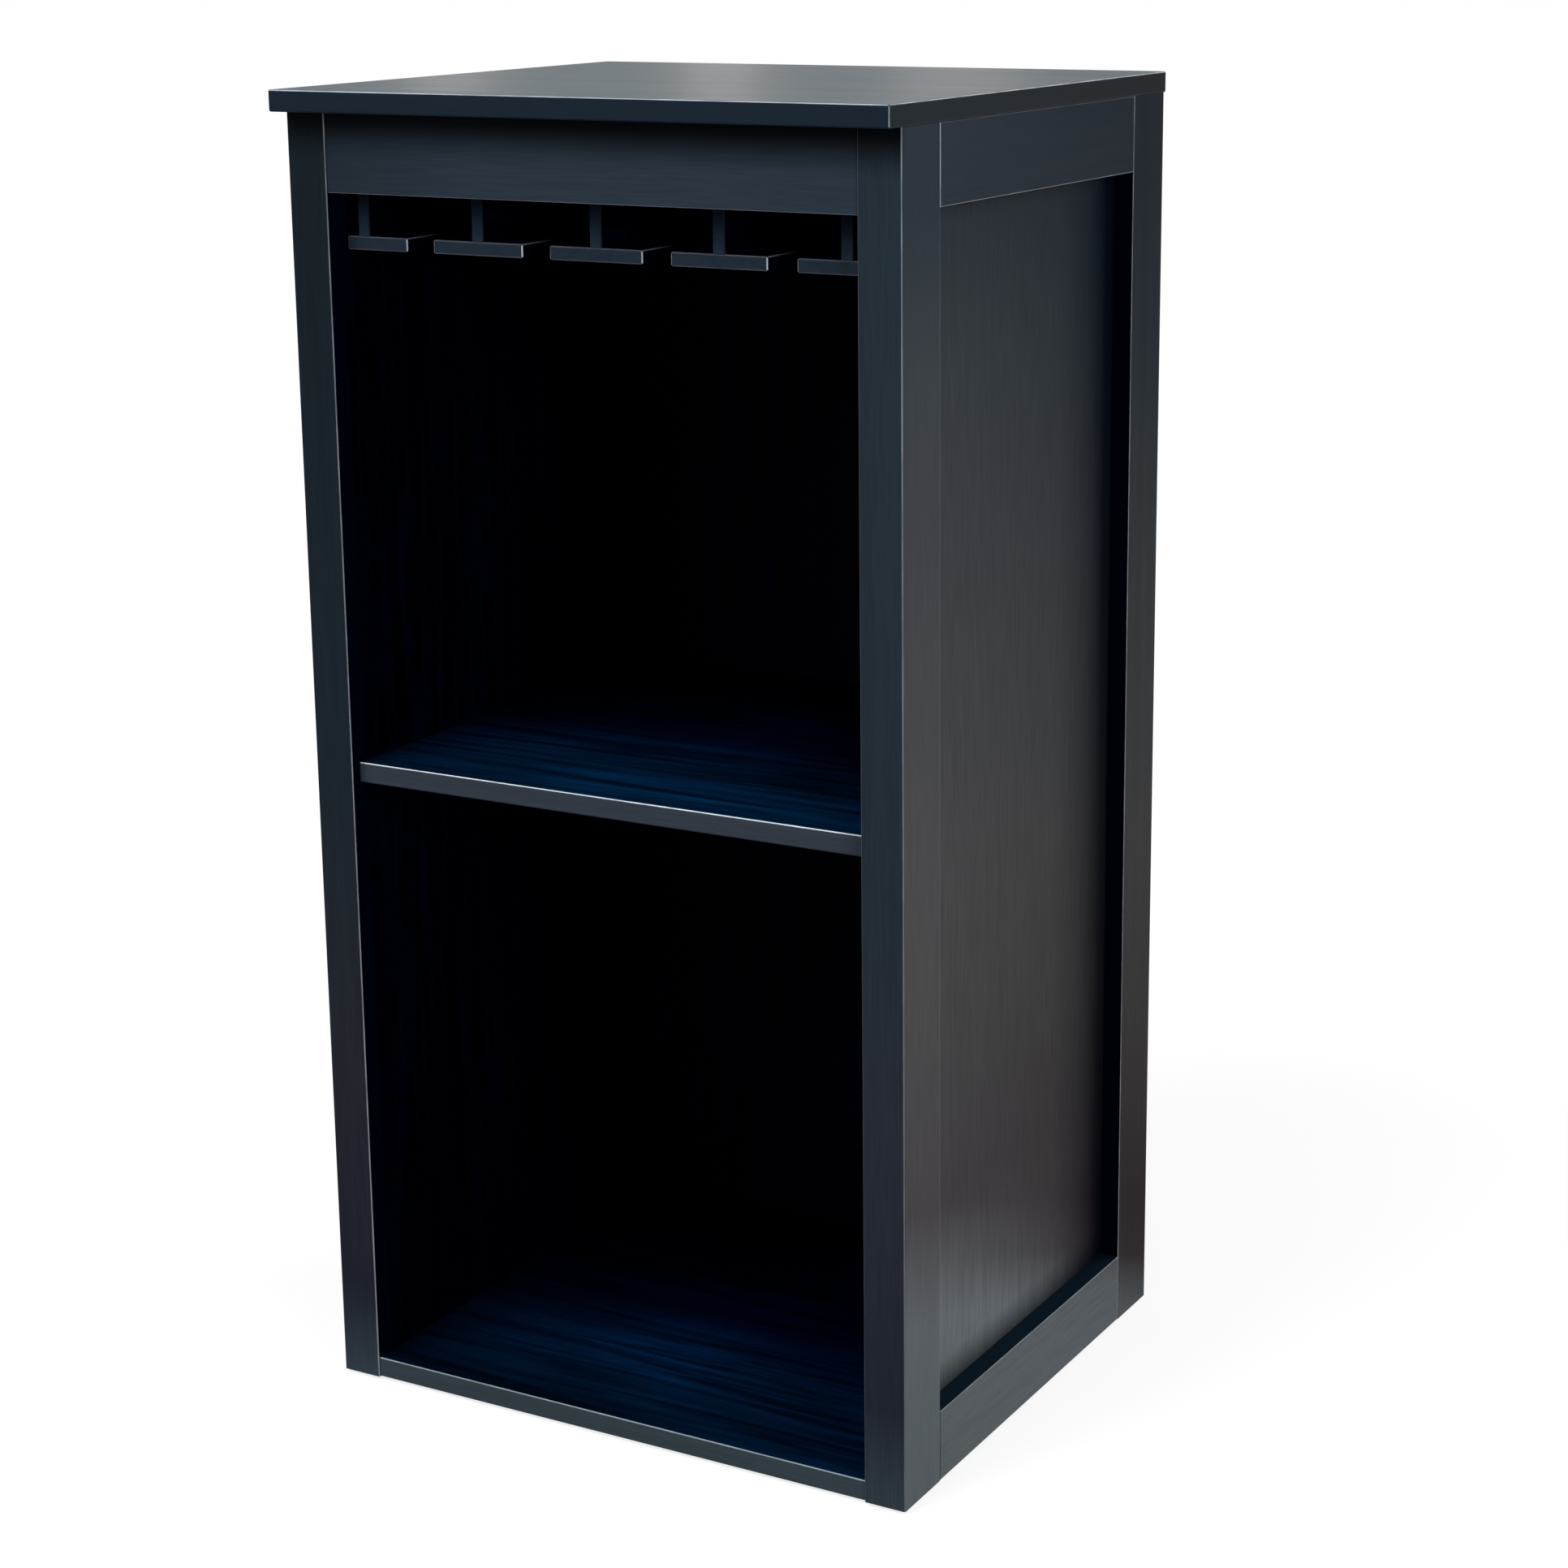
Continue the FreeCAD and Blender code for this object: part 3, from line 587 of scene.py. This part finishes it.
def plain(name, base, roughness, metal=0.0):
    """Metal or moulded plastic with a faint uneven sheen."""
    made = bpy.data.materials.new(name)
    tree = Tree(made)
    place = tree.add("TexCoord", {}).outputs["Object"]
    mottle = tree.spread(tree.noise(place, *MOTTLE_NOISE), *MOTTLE_RANGE)
    tone = tree.dim(base, tree.spread(mottle, 0.0, 1.0, 1.0, MOTTLE_LEVEL))
    rough = (roughness - MOTTLE_ROUGH, roughness + MOTTLE_ROUGH)
    uneven = tree.spread(mottle, 0.0, 1.0, *rough)
    relief = tree.add("Bump", {"Strength": MOTTLE_BUMP, "Distance": MOTTLE_DEPTH, "Height": mottle})
    shader = tree.add("BsdfPrincipled", {
        "Base Color": tone, "Roughness": uneven, "Metallic": metal,
        "Normal": relief.outputs["Normal"]})
    tree.add("OutputMaterial", {"Surface": shader.outputs["BSDF"]})
    return made


# The painted highlights of each post's corner, of a side rail's ends and its upper edge, and of the
# edges round a flange's front end; the bottom rails' ends take a dark seam line instead
POST_CORNERS = {"front_left_post": LEFT_CORNER, "front_right_post": RIGHT_CORNER,
                "rear_left_post": REAR_CORNER, "rear_right_post": REAR_CORNER}
RAIL_EDGES = (("top", SEAM, CORNER_WEAK), ("bottom", SEAM_LOW, RAIL_OVER))
FLANGE_EDGES = [((0, -1, 1), FLANGE_TOP), ((0, -1, -1), FLANGE_UNDER),
                ((1, -1, 0), FLANGE_RIGHT), ((-1, -1, 0), FLANGE_LEFT)]


def dress(node, material):
    """Puts a material in the slots of a CAD node."""
    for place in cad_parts[node].material_slots:
        place.material = material


def dress_frame(seeds):
    """The posts and rails, and the panel and the cleat of each side."""
    for name, corner in POST_CORNERS.items():
        dress(name, post_finish(f"{name}_lacquer", corner, next(seeds)))
    for name in ("front_apron", "rear_top_rail"):
        dress(name, cross_rail_finish(f"{name}_lacquer", next(seeds)))
    for side, across in (("left", -1), ("right", 1)):
        for rail, ends, over in RAIL_EDGES:
            name = f"{side}_{rail}_rail"
            dress(name, side_rail_finish(f"{name}_lacquer", across, ends, over, next(seeds)))
        dress(f"{side}_side_panel", panel_finish(f"{side}_panel_lacquer", next(seeds)))
        dress(f"{side}_top_cleat", inside_finish(f"{side}_cleat_lacquer", "Y", next(seeds)))


def dress_boards(seeds):
    """The top, the shelf, the bottom, the rack board and the back."""
    dress("top_board", top_finish("top_lacquer", next(seeds)))
    shelf = board_finish("shelf_lacquer", SHELF_NAVY, SHELF_EDGE, HIGHLIGHT_SHELF,
                         SHELF_RIGHT_LEVEL, next(seeds))
    dress("middle_shelf", shelf)
    bottom = board_finish("bottom_lacquer", BOTTOM_NAVY, BOTTOM_EDGE, HIGHLIGHT_BOTTOM,
                          BOTTOM_RIGHT_LEVEL, next(seeds))
    dress("bottom_board", bottom)
    dress("rack_board", inside_finish("rack_board_lacquer", "Y", next(seeds)))
    dress("back_panel", back_finish("back_lacquer", next(seeds)))


def dress_rack(seeds):
    """The T rails: a flange and a stem each."""
    for count in range(1, RACK_RAILS + 1):
        flange = rack_finish(f"flange_lacquer_{count}", FLANGE_EDGES, next(seeds))
        dress(f"rack_flange_{count}", flange)
        stem = rack_finish(f"stem_lacquer_{count}", [], next(seeds))
        dress(f"rack_stem_{count}", stem)


def dress_all():
    """Every CAD piece that stays, each with a seed of its own for its grain."""
    seeds = itertools.count(1)
    dress_frame(seeds)
    dress_boards(seeds)
    dress_rack(seeds)


# Turned small parts, each outlined by rings from one end to the other, and their own sizes
TURN_STEPS = 48
ROUND_STEPS = 6
SHARP_ANGLE = math.radians(35)
TIP_RADIUS = 0.2 * MM

SCREW_RADIUS = 2 * MM
SCREW_HEAD = 4 * MM
SCREW_CONE = SCREW_HEAD - SCREW_RADIUS
SCREW_POINT = 4 * MM
HEAD_EASE = 0.2 * MM
HEAD_RIM = 0.15 * MM
RECESS_ARM = 2.4 * MM
RECESS_HALF = 0.55 * MM
RECESS_DEPTH = 1.5 * MM
RECESS_FLOOR_SHARE = 0.7

PIN_RADIUS = 2.5 * MM
PIN_HEAD = 3.5 * MM
PIN_DEPTH = 9 * MM
PIN_LENGTH = 17 * MM
PIN_EASE = 0.3 * MM
PIN_LEAD = 0.4 * MM
PIN_DOME = 1.5 * MM
PIN_FLAT = 0.5 * MM

GLIDE_RADIUS = 9 * MM
GLIDE_THICK = 3 * MM
GLIDE_DOME = 1.8 * MM
GLIDE_SOLE = 6 * MM
NAIL_RADIUS = 1.5 * MM
NAIL_POINT = 2 * MM


def disc(radius):
    """The outline of a round section: its reach from the middle at any angle."""
    return lambda angle: radius


def crosshead(share):
    """The outline of a crosshead screw's recess, narrowed to a share of its mouth."""
    def reach(angle):
        off = abs((angle + math.pi / 4) % (math.pi / 2) - math.pi / 4)
        side = RECESS_HALF / math.sin(off) if off > 0 else RECESS_ARM
        return share * min(RECESS_ARM / math.cos(off), side)

    return reach


def dome(start, radius, rise, flat):
    """Rings that round a part off, from a full radius at start to a flat end after a rise."""
    turns = [step * math.pi / 2 / ROUND_STEPS for step in range(ROUND_STEPS + 1)]
    return [(start + rise * math.sin(turn), disc(flat + (radius - flat) * math.cos(turn)))
            for turn in turns]


def screw_rings(length):
    """A countersunk screw, from the floor of its recess over its head to its point."""
    return [(RECESS_DEPTH, crosshead(RECESS_FLOOR_SHARE)), (0.0, crosshead(1.0)),
            (0.0, disc(SCREW_HEAD - HEAD_EASE)), (HEAD_RIM, disc(SCREW_HEAD)),
            (SCREW_CONE, disc(SCREW_RADIUS)), (length - SCREW_POINT, disc(SCREW_RADIUS)),
            (length, disc(TIP_RADIUS))]


def pin_rings():
    """A shelf pin, from its end in the panel over its collar to its domed head."""
    return [(0.0, disc(PIN_RADIUS - PIN_EASE)), (PIN_LEAD, disc(PIN_RADIUS)),
            (PIN_DEPTH, disc(PIN_RADIUS)), (PIN_DEPTH, disc(PIN_HEAD - PIN_EASE)),
            (PIN_DEPTH + PIN_EASE, disc(PIN_HEAD)),
            *dome(PIN_LENGTH - PIN_DOME, PIN_HEAD, PIN_DOME, PIN_FLAT)]


def glide_rings(length):
    """A nail-on glide, from its domed sole to the point of its nail."""
    sole = [(GLIDE_DOME - along, reach)
            for along, reach in reversed(dome(0.0, GLIDE_RADIUS, GLIDE_DOME, GLIDE_SOLE))]
    return [*sole, (GLIDE_THICK, disc(GLIDE_RADIUS)), (GLIDE_THICK, disc(NAIL_RADIUS)),
            (length - NAIL_POINT, disc(NAIL_RADIUS)), (length, disc(TIP_RADIUS))]


def turn_part(mesh, place, way, rings):
    """Adds one turned solid to a mesh, from a place along a direction."""
    turn = Vector((0, 0, 1)).rotation_difference(Vector(way))
    angles = [2 * math.pi * step / TURN_STEPS for step in range(TURN_STEPS)]
    loops = []
    for along, reach in rings:
        spots = [Vector((reach(a) * math.cos(a), reach(a) * math.sin(a), along)) for a in angles]
        loops.append([mesh.verts.new(Vector(place) + turn @ spot) for spot in spots])
    for loop, following in zip(loops, loops[1:]):
        for step in range(TURN_STEPS):
            after = (step + 1) % TURN_STEPS
            mesh.faces.new((loop[step], loop[after], following[after], following[step]))
    for loop, along in ((loops[0], rings[0][0]), (loops[-1], rings[-1][0])):
        middle = mesh.verts.new(Vector(place) + turn @ Vector((0, 0, along)))
        for step in range(TURN_STEPS):
            mesh.faces.new((loop[step], loop[(step + 1) % TURN_STEPS], middle))


def turned(node, name, spots, rings, material):
    """Stands for a node's group of equal turned parts, from (place, direction) pairs."""
    made = bmesh.new()
    for place, way in spots:
        turn_part(made, place, way, rings)
    bmesh.ops.recalc_face_normals(made, faces=made.faces)
    mesh = bpy.data.meshes.new(name)
    made.to_mesh(mesh)
    made.free()
    mesh.shade_smooth()
    mesh.set_sharp_from_angle(angle=SHARP_ANGLE)
    mesh.materials.append(material)
    piece = bpy.data.objects.new(name, mesh)
    bpy.context.scene.collection.objects.link(piece)
    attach(piece, "root")
    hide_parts(node)


def corners(node, margin):
    """The four places, left and right, front and rear, a margin inside a node's box."""
    low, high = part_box(node)
    return [(x, y) for x in (low.x + margin, high.x - margin)
            for y in (low.y + margin, high.y - margin)]


def make_small_parts():
    """The screws, the shelf pins and the glides, each set where its CAD node is."""
    steel = plain("steel", STEEL, STEEL_ROUGHNESS, 1.0)
    low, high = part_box("top_screws")
    spots = [((x, y, low.z), (0, 0, 1)) for x, y in corners("top_screws", SCREW_HEAD)]
    turned("top_screws", "top_screw_set", spots, screw_rings(high.z - low.z), steel)
    low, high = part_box("back_screws")
    reach = high.x - SCREW_HEAD
    middle = (low.z + high.z) / 2
    spots = [((across * reach, high.y, middle), (0, -1, 0)) for across in (-1, 0, 1)]
    turned("back_screws", "back_screw_set", spots, screw_rings(high.y - low.y), steel)
    low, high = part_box("shelf_pins")
    middle = (low.z + high.z) / 2
    rows = (low.y + PIN_HEAD, high.y - PIN_HEAD)
    spots = [((side * high.x, y, middle), (-side, 0, 0)) for side in (-1, 1) for y in rows]
    turned("shelf_pins", "shelf_pin_set", spots, pin_rings(), steel)
    low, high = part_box("foot_glides")
    spots = [((x, y, low.z), (0, 0, 1)) for x, y in corners("foot_glides", GLIDE_RADIUS)]
    rings = glide_rings(high.z - low.z)
    dark = plain("glide_plastic", GLIDE, GLIDE_ROUGHNESS)
    turned("foot_glides", "foot_glide_set", spots, rings, dark)


# The studio: the world's light, half the floor's width, the floor's tone, and the strength of its
# white, as (distance from the cabinet's middle, strength) pairs
WORLD_LIGHT = 0.15
FLOOR_HALF = 12.0
FLOOR_TONE = (0.3, 0.3, 0.3, 1.0)
FLOOR_WHITE = ((0.8, 0.77), (4.0, 0.97))


def seen_rays(tree):
    """Rays that show a background: those of the camera, of mirrors and of glass."""
    path = tree.add("LightPath", {})
    seen = tree.math("MAXIMUM", path.outputs["Is Camera Ray"], path.outputs["Is Glossy Ray"])
    return tree.math("MAXIMUM", seen, path.outputs["Is Transmission Ray"])


def make_floor():
    """A pale floor that keeps the cabinet's shadow and runs into the white behind it."""
    mesh = bpy.data.meshes.new("floor")
    outline = [(-FLOOR_HALF, -FLOOR_HALF, 0), (FLOOR_HALF, -FLOOR_HALF, 0),
               (FLOOR_HALF, FLOOR_HALF, 0), (-FLOOR_HALF, FLOOR_HALF, 0)]
    mesh.from_pydata(outline, [], [(0, 1, 2, 3)])
    floor = bpy.data.objects.new("floor", mesh)
    bpy.context.scene.collection.objects.link(floor)
    made = bpy.data.materials.new("floor_white")
    tree = Tree(made)
    matt = tree.add("BsdfDiffuse", {"Color": FLOOR_TONE})
    place = tree.add("TexCoord", {}).outputs["Object"]
    distance = tree.add("VectorMath", {0: place}, operation="LENGTH").outputs["Value"]
    level = tree.fade(distance, *FLOOR_WHITE)
    strength = tree.times(seen_rays(tree), level)
    glow = tree.add("Emission", {"Color": WHITE, "Strength": strength})
    both = tree.add("AddShader", {0: matt.outputs[0], 1: glow.outputs[0]})
    tree.add("OutputMaterial", {"Surface": both.outputs[0]})
    mesh.materials.append(made)


def make_world():
    """A soft even light, and plain white for the rays that show a background."""
    world = bpy.data.worlds.new("studio")
    bpy.context.scene.world = world
    tree = Tree(world)
    light = tree.add("Background", {"Color": WHITE, "Strength": WORLD_LIGHT})
    white = tree.add("Background", {"Color": WHITE, "Strength": 1.0})
    parts = {0: seen_rays(tree), 1: light.outputs[0], 2: white.outputs[0]}
    mixed = tree.add("MixShader", parts)
    tree.add("OutputWorld", {"Surface": mixed.outputs[0]})


# The lamps: where each stands and what it faces, its width and height, and its power in watts
KEY_LAMP = {"place": (-1.0, -2.2, 2.9), "aim": (0, 0, 0.5), "size": (2.0, 2.6), "power": 112.0}
SIDE_LAMP = {"place": (2.3, 3.2, 1.9), "aim": (0, 0, 0.5), "size": (2.0, 1.6), "power": 120.0}
RIM_LAMP = {"place": (3.0, -1.8, 1.4), "aim": (0.2, -0.2, 0.6), "size": (1.2, 1.2), "power": 60.0}

# Three narrow lamps behind the cabinet, where they mirror in its top: the pixels across the
# photograph, the width and the power of each, and what they share
STRIPS = ((580, 0.12, 1.1), (900, 0.12, 1.25), (1180, 0.2, 1.3))
STRIP_DISTANCE = 5.5
STRIP_LEVEL = 1.6
STRIP_HEIGHT = 2.8
STRIP_TINT = (1.0, 0.85, 0.8)


def area_lamp(name, place, aim, size, power, tint=WHITE[:3]):
    """A rectangular lamp that the camera doesn't see."""
    data = bpy.data.lights.new(name, "AREA")
    data.shape = "RECTANGLE"
    data.size, data.size_y = size
    data.energy = power
    data.color = tint
    lamp = bpy.data.objects.new(name, data)
    bpy.context.scene.collection.objects.link(lamp)
    lamp.location = place
    aimed = Vector(aim) - Vector(place)
    lamp.rotation_euler = aimed.to_track_quat("-Z", "Y").to_euler()
    lamp.visible_camera = False
    return lamp


def make_lamps():
    """The three large lamps and the narrow ones behind the cabinet."""
    area_lamp("key", **KEY_LAMP)
    side = area_lamp("side", **SIDE_LAMP)
    side.visible_glossy = False
    area_lamp("rim", **RIM_LAMP)
    for count, (pixel, width, power) in enumerate(STRIPS, start=1):
        sideways = CAMERA_RIGHT * ((pixel - CENTRE_PIXELS[0]) / FOCAL_PIXELS)
        place = CAMERA_PLACE + (sideways - CAMERA_BACK) * STRIP_DISTANCE
        place.z = STRIP_LEVEL
        aim = (CAMERA_PLACE.x, CAMERA_PLACE.y, STRIP_LEVEL)
        area_lamp(f"strip_{count}", place, aim, (width, STRIP_HEIGHT), power, STRIP_TINT)


make_camera()
make_floor()
make_world()
make_lamps()
dress_all()
make_small_parts()
bpy.context.scene.view_settings.view_transform = "Standard"
